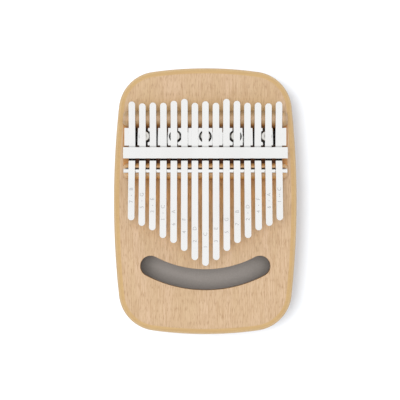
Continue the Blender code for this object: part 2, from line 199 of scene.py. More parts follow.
def loft(name, outline, profile, ring=False):
    """Rings of the outline at each (inset, z) of the profile, capped, or closed on itself as a ring."""
    bm = bmesh.new()
    rows = [[bm.verts.new((p.x, p.y, z)) for p in outline(inset)] for inset, z in profile]
    pairs = list(zip(rows, rows[1:]))
    if ring:
        pairs.append((rows[-1], rows[0]))
    else:
        bm.faces.new(rows[0])
        bm.faces.new(rows[-1])
    for low, high in pairs:
        for i in range(len(low)):
            after = (i + 1) % len(low)
            bm.faces.new((low[i], low[after], high[after], high[i]))
    return mesh_object(name, bm)


def prism(name, points, low, high, axis="Z"):
    """A flat outline made thick from low to high along an axis. Along X the points are (y, z)."""
    bm = bmesh.new()
    if axis == "X":
        rows = [[bm.verts.new((end, p[0], p[1])) for p in points] for end in (low, high)]
    else:
        rows = [[bm.verts.new((p[0], p[1], end)) for p in points] for end in (low, high)]
    for i in range(len(points)):
        after = (i + 1) % len(points)
        bm.faces.new((rows[0][i], rows[0][after], rows[1][after], rows[1][i]))
    bm.faces.new(rows[0])
    bm.faces.new(rows[1])
    return mesh_object(name, bm)


def cylinder(name, centre, radius, length, sides, axis="Z"):
    bm = bmesh.new()
    place = Matrix.Translation(centre)
    if axis == "X":
        place = place @ Matrix.Rotation(pi / 2, 4, "Y")
    bmesh.ops.create_cone(
        bm, cap_ends=True, segments=sides, radius1=radius, radius2=radius, depth=length, matrix=place
    )
    return mesh_object(name, bm)


def rounded(radius, top, height=None, steps=10):
    """(inset, z) points of an edge that is rounded up to a top face."""
    height = height or radius
    turns = [pi / 2 * i / steps for i in range(steps + 1)]
    return [(radius * (1 - cos(turn)), top - height * (1 - sin(turn))) for turn in turns]


def dress(obj, material):
    obj.data.materials.clear()
    obj.data.materials.append(material)


def finish_piece(obj, material, slot, *nodes, body="box"):
    """Gives a piece its material, the nodes that it replaces and the body that it rides. The slot is not
    used.
    """
    dress(obj, material)
    if nodes:
        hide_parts(*nodes)
    if body:
        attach(obj, body)
    return obj


def node_box(node):
    """A node's low and high corners in millimetres."""
    low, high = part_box(node)
    return low / MM, high / MM


# ---------------------------------------------------------------- outlines


def body_outline(half_width, half_length, inset, end_steps=14, corner_steps=18, side_steps=16):
    """Points round the box: four large arcs joined by four corner arcs."""
    a, b = half_width - inset, half_length - inset
    side, end, corner = SIDE_RADIUS - inset, END_RADIUS - inset, CORNER_RADIUS - inset
    side_centre, end_centre = Vector((a - side, 0)), Vector((0, b - end))
    between = end_centre - side_centre
    reach_side, reach_end = side - corner, end - corner
    along = (reach_side**2 - reach_end**2 + between.length**2) / (2 * between.length)
    across = sqrt(reach_side**2 - along**2)
    direction = between.normalized()
    corner_centre = side_centre + direction * along + Vector((-direction.y, direction.x)) * across
    side_turn = atan2(*(corner_centre - side_centre).yx)
    end_turn = atan2(*(corner_centre - end_centre).yx)
    quarter = []
    for centre, radius, start, stop, steps in (
        (side_centre, side, 0.0, side_turn, side_steps),
        (corner_centre, corner, side_turn, end_turn, corner_steps),
        (end_centre, end, end_turn, pi / 2, end_steps),
    ):
        for step in range(steps):
            turn = start + (stop - start) * step / steps
            quarter.append(centre + radius * Vector((cos(turn), sin(turn))))
    upper = quarter + [Vector((0.0, b))] + [Vector((-p.x, p.y)) for p in reversed(quarter[1:])]
    return upper + [Vector((-p.x, -p.y)) for p in upper]


def block_outline(low, high, inset, steps=10):
    """Points round a rectangle with rounded corners."""
    radius = max(BLOCK_CORNER - inset, SMALLEST_CORNER)
    points = []
    for x_side, y_side, first in ((1, 1, 0.0), (-1, 1, pi / 2), (-1, -1, pi), (1, -1, 3 * pi / 2)):
        x = (high[0] if x_side > 0 else low[0]) - x_side * (inset + radius)
        y = (high[1] if y_side > 0 else low[1]) - y_side * (inset + radius)
        for step in range(steps + 1):
            turn = first + pi / 2 * step / steps
            points.append(Vector((x + radius * cos(turn), y + radius * sin(turn))))
    return points


def smile_points(arc_steps=48, end_steps=20):
    """Points round the hole: two arcs about one centre, joined by half circles."""
    inner, outer = HOLE_ARC_RADIUS - HOLE_WIDTH / 2, HOLE_ARC_RADIUS + HOLE_WIDTH / 2

    def on_arc(radius, turn):
        return Vector((radius * sin(turn), HOLE_ARC_Y - radius * cos(turn)))

    steps = [2 * HOLE_HALF_ANGLE * step / arc_steps for step in range(arc_steps + 1)]
    points = [on_arc(outer, turn - HOLE_HALF_ANGLE) for turn in steps]
    for side in (1, -1):
        centre = on_arc(HOLE_ARC_RADIUS, side * HOLE_HALF_ANGLE)
        outward = (on_arc(outer, side * HOLE_HALF_ANGLE) - centre).normalized()
        onward = Vector((-outward.y, outward.x)) * side
        for step in range(1, end_steps):
            turn = pi * step / end_steps
            points.append(centre + HOLE_WIDTH / 2 * (outward * cos(turn) * side + onward * sin(turn)))
        if side == 1:
            points += [on_arc(inner, HOLE_HALF_ANGLE - turn) for turn in steps]
    return points


def tine_top(y):
    """Height of the tines' top line: a Hermite curve through the knots, straight beyond them."""
    first, last = TINE_KNOTS[0], TINE_KNOTS[-1]
    if y >= first[0]:
        return first[1] + (y - first[0]) * first[2]
    if y > last[0]:
        for (y0, z0, m0), (y1, z1, m1) in zip(TINE_KNOTS, TINE_KNOTS[1:]):
            if y1 <= y <= y0:
                span = y1 - y0
                t = (y - y0) / span
                ends = (2 * t**3 - 3 * t**2 + 1) * z0 + (3 * t**2 - 2 * t**3) * z1
                return ends + (t**3 - 2 * t**2 + t) * span * m0 + (t**3 - t**2) * span * m1
    return last[1] + (y - last[0]) * last[2]


# ---------------------------------------------------------------- materials


class Graph:
    """A Principled material, with short calls for the nodes that feed it."""

    def __init__(self, name, **constants):
        self.material = bpy.data.materials.new(name)
        self.material.use_nodes = True
        self.tree = self.material.node_tree
        self.shader = self.tree.nodes["Principled BSDF"]
        self.coords = self.add("ShaderNodeTexCoord").outputs["Object"]
        for key, value in constants.items():
            self.shader.inputs[key.replace("_", " ")].default_value = value

    def add(self, kind, inputs=(), **settings):
        node = self.tree.nodes.new(kind)
        for key, value in settings.items():
            setattr(node, key, value)
        for key, value in dict(inputs).items():
            self.feed(node.inputs[key], value)
        return node

    def feed(self, socket, value):
        if isinstance(value, bpy.types.NodeSocket):
            self.tree.links.new(value, socket)
        elif value is not None:
            socket.default_value = value

    def noise(self, scale, detail=2.0, roughness=0.5, distortion=0.0, shift=(0, 0, 0)):
        """Noise with a cycle of about 1 / scale along each axis, in 1/mm."""
        place = {"Vector": self.coords, "Scale": tuple(v / MM for v in scale), "Location": shift}
        inputs = {
            "Vector": self.add("ShaderNodeMapping", place).outputs[0],
            "Scale": 1.0,
            "Detail": detail,
            "Roughness": roughness,
            "Distortion": distortion,
        }
        return self.add("ShaderNodeTexNoise", inputs).outputs[0]

    def math(self, operation, a, b=None, c=None):
        return self.add("ShaderNodeMath", {0: a, 1: b, 2: c}, operation=operation).outputs[0]

    def product(self, a, b):
        return self.math("MULTIPLY", a, b)

    def span(self, value, low, high, to_low=0.0, to_high=1.0, smooth=True):
        """value from low..high to to_low..to_high, held at the ends."""
        kind = "SMOOTHSTEP" if smooth else "LINEAR"
        inputs = {0: value, 1: low, 2: high, 3: to_low, 4: to_high}
        return self.add("ShaderNodeMapRange", inputs, interpolation_type=kind).outputs[0]

    def band(self, value, low, low_full, high_full, high):
        """1 between low_full and high_full, falling to 0 at low and high."""
        rise, fall = self.span(value, low, low_full), self.span(value, high_full, high, 1.0, 0.0)
        return self.product(rise, fall)

    def inside(self, low, high):
        """1 within low of the middle plane X = 0, falling to 0 at high."""
        return self.span(self.math("ABSOLUTE", self.axis("X")), low, high, 1.0, 0.0)

    def mix(self, share, a, b, blend="MIX"):
        node = self.add("ShaderNodeMix", {0: share, 6: a, 7: b}, data_type="RGBA", blend_type=blend)
        return node.outputs[2]

    def axis(self, letter):
        """A coordinate in millimetres."""
        parts = self.add("ShaderNodeSeparateXYZ", {0: self.coords})
        return self.math("MULTIPLY", parts.outputs[letter], 1 / MM)

    def bump(self, height, strength, distance):
        inputs = {"Height": height, "Strength": strength, "Distance": distance * MM}
        return self.add("ShaderNodeBump", inputs).outputs[0]

    def done(self, **outputs):
        for key, value in outputs.items():
            self.feed(self.shader.inputs[key.replace("_", " ")], value)
        return self.material


def linear(level):
    """Linear light of a display level in 0..255."""
    share = level / 255
    return share / 12.92 if share < 0.0404 else ((share + 0.055) / 1.055) ** 2.4


def rgb(red, green, blue):
    """Linear colour of a display colour in 0..255."""
    return linear(red), linear(green), linear(blue), 1.0


def lit(red, green, blue):
    """Linear colour of a surface that looks like this display colour under the lights of this scene."""
    return (*(v / LIGHT_LEVEL for v in rgb(red, green, blue)[:3]), 1.0)


def times(g, share, colour, tint):
    """A share of the colour multiplied by the tint, which is three factors or a socket."""
    if not isinstance(tint, bpy.types.NodeSocket):
        tint = (*tint, 1.0)
    return g.mix(share, colour, g.mix(1.0, colour, tint, "MULTIPLY"))


def warm_crevices(g, colour, tint, share=1.0):
    """Wood close to wood looks more saturated, from the light that passes between them."""
    shade = g.add("ShaderNodeAmbientOcclusion", {"Distance": CREVICE_REACH * MM}, samples=6)
    crevice = g.span(shade.outputs["AO"], *CREVICE_SPAN, 1.0, 0.0, smooth=False)
    return times(g, g.product(crevice, share), colour, tint)


def wood_fibre(g, shift=0.0):
    """Wood with its grain along Y: (slow figure, fine fibres, short dark flecks), each 0..1."""
    figure = g.noise(FIGURE_GRAIN, detail=3.0, roughness=0.55, distortion=0.6, shift=(shift, 0, 0))
    fibre = g.noise(FIBRE_GRAIN, detail=3.0, roughness=0.7, shift=(shift, 0, 0))
    fleck = g.noise(FLECK_GRAIN, detail=2.0, roughness=0.6, shift=(shift + 7, 3, 1))
    return figure, fibre, fleck


def wood_finish(g, colour, fibre, dark, bump, roughest):
    """Ends a wood: rougher and raised along its fibres, and sunk where it is dark."""
    relief = g.math("SUBTRACT", g.product(fibre, 0.6), g.product(dark, 0.5))
    rough = g.span(fibre, 0.3, 0.7, 0.42, roughest)
    return g.done(Base_Color=colour, Roughness=rough, Normal=g.bump(relief, bump, 0.08))


def plies(g, depth, fibre):
    """The plies under the veneer, whose grain runs across and along in turn."""
    long_grain = g.noise(PLY_GRAIN, detail=3.0, roughness=0.6)
    cross_grain = g.noise(CROSS_PLY_GRAIN, detail=3.0, roughness=0.6, shift=(5, 0, 0))
    pale = g.mix(g.span(long_grain, 0.3, 0.7), PLY_LIGHT, PLY_LIGHT_LOW)
    deep = g.mix(g.span(cross_grain, 0.3, 0.7), PLY_DEEP, PLY_DEEP_LOW)

    def below(joint, above, under):
        return g.mix(g.span(depth, joint - GLUE_HALF, joint + GLUE_HALF), above, under)

    first, second, third = PLY_JOINTS
    core = g.mix(g.span(fibre, 0.43, 0.62, 0.0, 0.5), below(first, deep, pale), PLY_DEEP_LOW)
    return below(third, below(second, core, deep), pale)


def veneer_material():
    """The soundboard: beech veneer above plain plies, which show at its rounded edge and in the hole."""
    g = Graph("beech_veneer", Coat_Weight=0.12, Coat_Roughness=0.35)
    figure, fibre, fleck = wood_fibre(g)
    ground = g.mix(g.span(figure, 0.3, 0.7), FACE_PINK, FACE_TAN)
    ground = g.mix(g.span(fibre, 0.43, 0.60), ground, FACE_FIBRE)
    dark = g.span(fleck, 0.53, 0.68, 0.0, 0.7)
    face = g.mix(dark, ground, FACE_FLECK)
    depth = g.math("SUBTRACT", node_box("soundboard")[1].z, g.axis("Z"))
    under_face = g.span(depth, VENEER_THICKNESS - GLUE_HALF, VENEER_THICKNESS + GLUE_HALF)
    colour = g.mix(under_face, face, plies(g, depth, fibre))

    across, along = g.math("ABSOLUTE", g.axis("X")), g.axis("Y")
    in_hole = g.product(g.math("LESS_THAN", across, HOLE_ZONE_X), g.math("COMPARE", along, *HOLE_ZONE_Y))
    # painted shade on the plies in the wall of the sound hole
    colour = times(g, g.product(in_hole, under_face), colour, HOLE_WALL_TINT)
    # painted warm bounce light and shade on the face near the tines, changing along Y
    tint = (*FACE_TINTS[0], 1.0)
    for (low, high), further in zip(FACE_TINT_FADES, FACE_TINTS[1:]):
        tint = g.mix(g.span(along, low, high), tint, (*further, 1.0))
    near_tines = g.product(g.inside(*TINES_REACH), g.span(along, *TINES_START_Y))
    colour = warm_crevices(g, colour, tint, near_tines)
    return wood_finish(g, colour, fibre, dark, 0.25, 0.58)


def bridge_colour(g, colour):
    """Paints light and shade into the bridge's colour: painted shade at its foot, on the rear saddle's
    slopes, on its floor under the bar, between the bar and the plate and in the rod's groove, and painted
    light and shade on its saddles and across the tines.
    """
    y, z = g.axis("Y"), g.axis("Z")
    # painted shade at the foot of the bridge, with a ragged edge
    ragged_shade_edge = g.noise((0.3, 0.12, 0.3), detail=3.0, shift=(4, 4, 4))
    foot = g.span(g.math("ADD", z, ragged_shade_edge), *BRIDGE_FOOT_Z, 1.0, 0.0)
    colour = times(g, foot, colour, BRIDGE_FOOT_TINT)
    # painted shade on the slopes of the rear saddle, leaving its crest lighter
    from_rear = g.math("ABSOLUTE", g.math("SUBTRACT", y, REAR_SADDLE_Y))
    colour = times(g, g.band(from_rear, *REAR_SLOPES), colour, REAR_SLOPE_TINT)
    # painted light and shade on the saddles, across the tines, and in the gap between the bar and the plate
    between, on_top = g.inside(*BETWEEN_REACH), g.inside(*TOP_REACH)
    for zone, stretches in ((None, SADDLE_TINTS), (between, BETWEEN_TINTS), (on_top, TOP_TINTS)):
        for ends, tint in stretches:
            share = g.band(y, *ends)
            colour = times(g, g.product(zone, share) if zone else share, colour, tint)
    # painted shadow on the bridge's floor under the bar
    under_bar = g.product(g.band(y, *UNDER_BAR_Y), g.span(z, *UNDER_BAR_Z, 1.0, 0.0))
    colour = times(g, g.product(between, under_bar), colour, UNDER_BAR_TINT)
    # painted shade in the rod's groove, just behind the rod
    rod_low, rod_high = node_box("front_rod")
    from_y = g.math("SUBTRACT", y, (rod_low.y + rod_high.y) / 2 + GROOVE_SHADE_SHIFT)
    from_z = g.math("SUBTRACT", z, (rod_low.z + rod_high.z) / 2)
    reach = g.math("ADD", g.product(from_y, from_y), g.product(from_z, from_z))
    return times(g, g.span(reach, *GROOVE_SHADE_REACH, 1.0, 0.0), colour, GROOVE_TINT)


def wood_material(name, light, low, dark, shift, tint, of_bridge=False):
    g = Graph(name, Coat_Weight=0.12, Coat_Roughness=0.35)
    figure, fibre, fleck = wood_fibre(g, shift)
    colour = g.mix(g.span(figure, 0.3, 0.7), light, low)
    colour = g.mix(g.span(fibre, 0.42, 0.64, 0.0, 0.4), colour, dark)
    spots = g.span(fleck, 0.54, 0.70, 0.0, 0.45)
    colour = g.mix(spots, colour, dark)
    if of_bridge:
        colour = bridge_colour(g, colour)
    return wood_finish(g, warm_crevices(g, colour, tint), fibre, spots, 0.3, 0.6)


def metal_material(name, colours, rough, grain, bump, shade_below=None, shade_half=None):
    """Polished metal with a faint grain; grain is its cycles per millimetre along each axis.

    Faces whose normal's Z is less than the given limit are painted dark and made rougher: painted shade and
    dark reflection under the steel, darker near the bridge than near the tips. On the tines that is only a
    band of the given half width to each side of the middle, as their ground edges are bright, and a faint
    painted shadow line lies across their tops just behind the pressure bar.
    """
    g = Graph(name, Metallic=1.0)
    lines = g.noise(grain, detail=3.0, roughness=0.7)
    smear = g.noise((0.06, 0.05, 0.06), detail=2.0, shift=(3, 1, 2))
    tone = g.mix(g.span(smear, 0.3, 0.7), *colours)
    brushed = g.span(lines, 0.3, 0.7, rough * 0.8, rough * 1.25)
    roughness = g.math("ADD", brushed, g.span(smear, 0.4, 0.8, 0.0, 0.02))
    # painted shade: faces that point down are darkened, more near the bridge than near the tips
    if shade_below:
        normal = g.add("ShaderNodeSeparateXYZ", {0: g.add("ShaderNodeNewGeometry").outputs["True Normal"]})
        under = g.span(normal.outputs["Z"], shade_below - UNDERSIDE_SHADE_FADE, shade_below, 1.0, 0.0)
        if shade_half:
            # a painted shadow line across the tines, just behind the pressure bar
            tone = times(g, g.band(g.axis("Y"), *BAR_SHADOW_LINE), tone, BAR_SHADOW_TINT)
            from_middle = g.math("PINGPONG", g.axis("X"), TINE_PITCH / 2)
            under = g.product(under, g.span(from_middle, shade_half, shade_half + UNDERSIDE_SHADE_FADE, 1.0, 0.0))
        scale = g.noise((0.5, 0.15, 0.5), detail=3.0)
        near_tips, near_bridge = g.mix(scale, *UNDERSIDE_SHADE_TIPS), g.mix(scale, *UNDERSIDE_SHADE_BRIDGE)
        tone = g.mix(under, tone, g.mix(g.span(g.axis("Y"), *UNDERSIDE_SHADE_CHANGE_Y), near_tips, near_bridge))
        roughness = g.math("ADD", roughness, g.product(under, 0.4))
    return g.done(Base_Color=tone, Roughness=roughness, Normal=g.bump(lines, bump, 0.02))


def speckled_material(name, grain, detail, colours, rough, **constants):
    """A plain material with an even speckle, grain to the millimetre, in its colour and its roughness."""
    g = Graph(name, **constants)
    spots = g.noise((grain, grain, grain), detail)
    return g.done(Base_Color=g.mix(spots, *colours), Roughness=g.span(spots, 0.3, 0.7, *rough))


def card_material():
    g = Graph("grey_card", Specular_IOR_Level=0.2)
    fibres = g.noise((0.9, 0.9, 0.9), detail=5.0, roughness=0.7)
    blotch = g.noise((0.05, 0.05, 0.05), detail=2.0, shift=(2, 5, 0))
    colour = g.mix(g.span(fibres, 0.3, 0.7), CARD_LIGHT, CARD_DARK)
    colour = g.mix(g.span(blotch, 0.35, 0.65, 0.0, 0.3), colour, CARD_DARK)
    colour = times(g, g.span(g.math("ABSOLUTE", g.axis("X")), *CARD_SHADE_X), colour, CARD_SHADE_TINT)
    rough = g.span(fibres, 0.2, 0.8, 0.85, 0.98)
    return g.done(Base_Color=colour, Roughness=rough, Normal=g.bump(fibres, 0.3, 0.1))


# Colours: lit() are those of wood and card as they look under the lights of this scene
LIGHT_LEVEL = 1.55
FACE_PINK = lit(229, 196, 162)
FACE_TAN = lit(221, 189, 149)
FACE_FIBRE = lit(209, 174, 135)
FACE_FLECK = lit(176, 138, 98)
PLY_LIGHT = lit(231, 196, 143)
PLY_LIGHT_LOW = lit(222, 186, 134)
PLY_DEEP = lit(220, 183, 126)
PLY_DEEP_LOW = lit(211, 173, 118)
BODY_WOOD = lit(219, 184, 142), lit(210, 173, 130), lit(178, 136, 94)
BRIDGE_WOOD = lit(212, 180, 146), lit(204, 170, 134), lit(176, 136, 98)
CARD_LIGHT = lit(196, 188, 182)
CARD_DARK = lit(187, 180, 174)
PLATING = rgb(247, 247, 246), rgb(244, 244, 243)
SPRING_STEEL = rgb(248, 248, 247), rgb(245, 245, 244)
SCREW_STEEL = rgb(232, 230, 226), rgb(222, 220, 214)
ETCHED = rgb(172, 172, 172), rgb(196, 196, 196)
BLACK_FIBRE = rgb(14, 14, 14), rgb(34, 33, 32)
FLOOR_PAINT = (0.848, 0.88, 0.922, 1.0), (0.862, 0.895, 0.938, 1.0)
# painted shade for the undersides of the steel, near the tips and near the bridge
UNDERSIDE_SHADE_TIPS = rgb(120, 116, 112), rgb(150, 146, 142)
UNDERSIDE_SHADE_BRIDGE = rgb(26, 24, 23), rgb(48, 45, 43)

# Grain of woods and metals, in cycles per millimetre along each axis
FIGURE_GRAIN = (0.10, 0.007, 0.10)
FIBRE_GRAIN = (1.6, 0.06, 1.6)
FLECK_GRAIN = (1.9, 0.2, 1.9)
PLY_GRAIN, CROSS_PLY_GRAIN = (0.9, 0.03, 0.9), (0.03, 0.9, 0.9)
GLUE_HALF = 0.05
PLATE_GRAIN = (0.8, 1.3, 1.3)
STRIP_GRAIN = (2.2, 0.04, 2.2)
SCREW_GRAIN = (1.5, 1.5, 1.5)

# Tints: factors on red, green and blue, for the light that passes between the tines, the bar and the wood.
# A stretch is along Y: where a tint starts, where it is full, where it starts to fade and where it ends.
CREVICE_REACH, CREVICE_SPAN = 20.0, (0.3, 0.86)
BODY_CREVICE_TINT, BRIDGE_CREVICE_TINT = (1.3, 1.0, 0.6), (1.15, 0.9, 0.6)
HOLE_ZONE_X, HOLE_ZONE_Y = 52.0, (-48.0, 16.0)
# painted shade on the wall of the sound hole
HOLE_WALL_TINT = (0.62, 0.45, 0.30)
TINES_REACH, TINES_START_Y = (49.0, 53.0), (-46.0, -40.0)
# painted bounce light and shade on the face near the tines
FACE_TINTS = ((2.35, 1.36, 0.24), (1.72, 1.16, 0.52), (1.3, 0.97, 0.56), (1.08, 0.96, 0.58))
FACE_TINT_FADES = ((-28.0, -12.0), (3.0, 12.0), (50.0, 60.0))
# painted shade at the foot of the bridge
BRIDGE_FOOT_Z, BRIDGE_FOOT_TINT = (34.6, 38.6), (0.92, 0.72, 0.42)
# painted shade on the slopes of the rear saddle
REAR_SLOPES, REAR_SLOPE_TINT = (0.8, 2.4, 5.2, 5.6), (0.86, 0.85, 0.72)
BETWEEN_REACH, TOP_REACH = (50.0, 51.5), (54.2, 54.6)
# painted light and shade on the slopes of the front saddle
SADDLE_TINTS = (
    ((13.0, 14.0, 18.2, 19.0), (1.22, 1.2, 1.1)),
    ((21.2, 22.0, 24.4, 25.6), (1.18, 1.13, 0.95)),
)
# painted light and shade on the bridge across the width of the tines
BETWEEN_TINTS = (
    ((21.8, 22.2, 23.0, 23.8), (1.15, 1.35, 1.85)),
    ((16.2, 17.0, 17.8, 18.4), (0.92, 1.04, 1.3)),
    ((13.0, 14.0, 15.8, 16.8), (1.1, 1.02, 0.72)),
    ((49.0, 49.4, 61.0, 62.0), (0.82, 0.87, 0.93)),
    ((49.0, 49.4, 50.2, 52.4), (0.82, 0.62, 0.38)),
)
# painted shade in the gap between the bar and the plate
TOP_TINTS = (((35.0, 35.6, 36.8, 37.2), (0.4, 0.4, 0.45)),)
# painted shadow on the bridge's floor under the bar
UNDER_BAR_Y, UNDER_BAR_Z = (23.7, 25.0, 37.2, 38.0), (33.4, 36.4)
UNDER_BAR_TINT = (0.24, 0.17, 0.12)
# painted shade in the rod's groove
GROOVE_SHADE_REACH, GROOVE_SHADE_SHIFT = (3.3, 3.6), 0.35
GROOVE_TINT = (0.12, 0.08, 0.06)
CARD_SHADE_X, CARD_SHADE_TINT = (26.0, 46.0), (0.86, 0.86, 0.85)
# painted shadow line across the tines behind the pressure bar
BAR_SHADOW_LINE, BAR_SHADOW_TINT = (35.4, 35.7, 36.4, 36.7), (0.66, 0.66, 0.66)
# painted shade on the undersides of the steel
UNDERSIDE_SHADE_BELOW, UNDERSIDE_SHADE_HALF, UNDERSIDE_SHADE_FADE = -0.8, 1.45, 0.15
UNDERSIDE_SHADE_CHANGE_Y = (8.0, 22.0)


# ---------------------------------------------------------------- the sound box


def make_box(veneer, wood, card):
    low, high = node_box("soundboard")
    half_width, half_length = (high.x - low.x) / 2, (high.y - low.y) / 2
    back_top = node_box("back_board")[1].z

    def outline(inset):
        return body_outline(half_width, half_length, inset)

    top_edge = rounded(TOP_ROUND, high.z, TOP_ROUND_HEIGHT)
    board = loft("soundboard_panel", outline, [(0.0, low.z)] + top_edge)
    hole = prism("smile_cutter", smile_points(), low.z - 5, high.z + 5)
    combine(board, hole, "DIFFERENCE")
    bevel(board, HOLE_EDGE, 2, 70)
    settle(board, radians(40), [hole])
    finish_piece(board, veneer, "wood_face", "soundboard")

    ring = [(0.0, back_top), (0.0, low.z), (WALL, low.z), (WALL, back_top)]
    band = loft("side_band", outline, ring, ring=True)
    bevel(band, BOARD_EDGE, 1, 60)
    finish_piece(settle(band), wood, "wood_body", "side_frame")

    back_edge = [(inset, -z) for inset, z in reversed(rounded(BACK_ROUND, 0.0))]
    back = loft("back_panel", outline, back_edge + [(0.0, back_top)])
    bevel(back, BOARD_EDGE, 1, 60)
    finish_piece(settle(back), wood, "wood_body", "back_board")

    dress(frame["nodes"]["chamber_liner"], card)
    dress(frame["nodes"]["inner_brace"], wood)


# ---------------------------------------------------------------- the bridge


def saddle(name, low, high, y, top):
    """A cushion-shaped saddle across the bridge: low and high give its ends and its foot."""
    corners = (low.x, y - SADDLE_WIDTH / 2), (high.x, y + SADDLE_WIDTH / 2)

    def outline(inset):
        return block_outline(*corners, inset)

    return loft(name, outline, [(0.0, low.z)] + rounded(SADDLE_ROUND, top, SADDLE_ROUND_HEIGHT, steps=14))


def make_bridge(wood, steel, bar_steel):
    low, high = node_box("bridge_block")
    low.z = node_box("soundboard")[1].z
    rod_low, rod_high = node_box("front_rod")
    rod_middle, rod_radius = (rod_low + rod_high) / 2, (rod_high.z - rod_low.z) / 2
    plate_low, plate_high = node_box("bridge_plate")
    floor_z = plate_low.z

    block = saddle("bridge_wood", low, high, rod_middle.y, rod_middle.z + SADDLE_ABOVE_ROD)
    rear_top = tine_top(REAR_SADDLE_Y) - TINE_THICKNESS - SADDLE_GAP
    rear = saddle("rear_saddle_join", low, high, REAR_SADDLE_Y, rear_top)
    corners = [(low.x, rod_middle.y), (high.x, rod_middle.y)]
    corners += [(high.x, REAR_SADDLE_Y), (low.x, REAR_SADDLE_Y)]
    floor = prism("block_floor_join", corners, low.z, floor_z)
    groove_middle = rod_middle + Vector((0, GROOVE_RADIUS - rod_radius - GROOVE_GAP, 0))
    groove = cylinder("groove_cutter", groove_middle, GROOVE_RADIUS, high.x - low.x + 20, 48, "X")
    combine(block, floor, "UNION")
    combine(block, rear, "UNION")
    combine(block, groove, "DIFFERENCE")
    settle(block, radians(40), [floor, rear, groove])
    finish_piece(block, wood, "wood_body", "bridge_block")

    rod = cylinder("front_rod_round", rod_middle, rod_radius, rod_high.x - rod_low.x, 64, "X")
    bevel(rod, ROD_EDGE, 3, 60)
    finish_piece(settle(rod), steel, "plated_steel", "front_rod")

    plate_shape = [(plate_low.y, plate_low.z), (plate_high.y, plate_low.z)]
    plate_shape += [(plate_high.y, plate_high.z), (plate_low.y, plate_high.z)]
    plate = prism("fixing_plate", plate_shape, plate_low.x, plate_high.x, "X")
    bevel(plate, PLATE_EDGE, 3, 60)
    finish_piece(settle(plate, radians(60)), steel, "plated_steel", "bridge_plate")

    low, high = node_box("pressure_bar")
    y, half, foot = (low.y + high.y) / 2, (high.y - low.y) / 2, BAR_FOOT_WIDTH / 2
    lower = [(y - foot, low.z), (y + foot, low.z), (y + half, high.z - BAR_SIDE_HEIGHT)]
    upper = [(y + half, high.z), (y - half, high.z), (y - half, high.z - BAR_SIDE_HEIGHT)]
    bar = prism("pressure_bar_shaped", lower + upper, low.x, high.x, "X")
    bevel(bar, BAR_EDGE, 4, 25)
    finish_piece(settle(bar, radians(50)), bar_steel, "plated_steel", "pressure_bar")


def turn_profile(name, profile, x, y, ring=False):
    """A solid turned from (radius, z) points, at (x, y). A ring's profile is closed on itself."""
    bm = bmesh.new()
    verts = [bm.verts.new((radius, 0.0, z)) for radius, z in profile]
    onward = verts[1:] + verts[:1] if ring else verts[1:]
    geom = verts + [bm.edges.new(pair) for pair in zip(verts, onward)]
    bmesh.ops.spin(bm, geom=geom, cent=(0, 0, 0), axis=(0, 0, 1), angle=2 * pi, steps=48, use_merge=True)
    bmesh.ops.remove_doubles(bm, verts=bm.verts, dist=0.001)
    bmesh.ops.translate(bm, vec=(x, y, 0), verts=bm.verts)
    return mesh_object(name, bm)


def make_screw(node, steel, fibre):
    """A button-head screw with a hexagonal socket, and the washer under it."""
    low, high = node_box(node)
    washer_node = node.replace("bridge_screw", "screw_washer")
    washer_low, washer_high = node_box(washer_node)
    head_radius, seat = (high.x - low.x) / 2, washer_high.z
    x, y = (low.x + high.x) / 2, (low.y + high.y) / 2
    rim = head_radius - SCREW_FLAT_RADIUS
    drop = high.z - seat - SCREW_RIM
    turns = [pi / 2 * i / 10 for i in range(11)]
    profile = [(0.0, high.z)]
    profile += [(SCREW_FLAT_RADIUS + rim * sin(t), high.z - drop * (1 - cos(t))) for t in turns]
    profile += [(head_radius, seat), (SHANK_RADIUS, seat), (SHANK_RADIUS, low.z + POINT_LENGTH)]
    profile += [(POINT_RADIUS, low.z), (0.0, low.z)]
    screw = turn_profile(node + "_round", profile, x, y)
    socket_middle = (x, y, high.z + 1 - SOCKET_DEPTH / 2)
    socket = cylinder("socket_cutter", socket_middle, SOCKET_RADIUS, SOCKET_DEPTH + 2, 6)
    combine(screw, socket, "DIFFERENCE")
    settle(screw, radians(30), [socket])
    finish_piece(screw, steel, "plated_steel", node)

    outer, floor_z = (washer_high.x - washer_low.x) / 2, node_box("bridge_plate")[1].z
    ring = [(WASHER_BORE_RADIUS, washer_high.z), (outer - WASHER_EDGE, washer_high.z)]
    ring += [(outer, washer_high.z - WASHER_EDGE), (outer, floor_z), (WASHER_BORE_RADIUS, floor_z)]
    washer = settle(turn_profile(node.replace("bridge_screw", "washer"), ring, x, y, ring=True))
    finish_piece(washer, fibre, "black_fibre", washer_node)


# ---------------------------------------------------------------- the tines


def tine_stations(tip, rear, end_steps=12):
    """(y, half width) along a tine, with half-round ends."""
    radius = TINE_WIDTH / 2
    first = acos(1 - END_FLAT)
    turns = [first + (pi / 2 - first) * step / end_steps for step in range(end_steps + 1)]
    count = round((rear - tip - TINE_WIDTH) / TINE_STEP)
    stations = [(tip + radius * (1 - cos(turn)), radius * sin(turn)) for turn in turns]
    inner = [tip + radius + (rear - tip - TINE_WIDTH) * i / count for i in range(1, count)]
    stations += [(y, radius) for y in inner]
    return stations + [(rear - radius * (1 - cos(turn)), radius * sin(turn)) for turn in reversed(turns)]


def face_up(obj):
    if obj.data.polygons[0].normal.z < 0:
        obj.data.flip_normals()


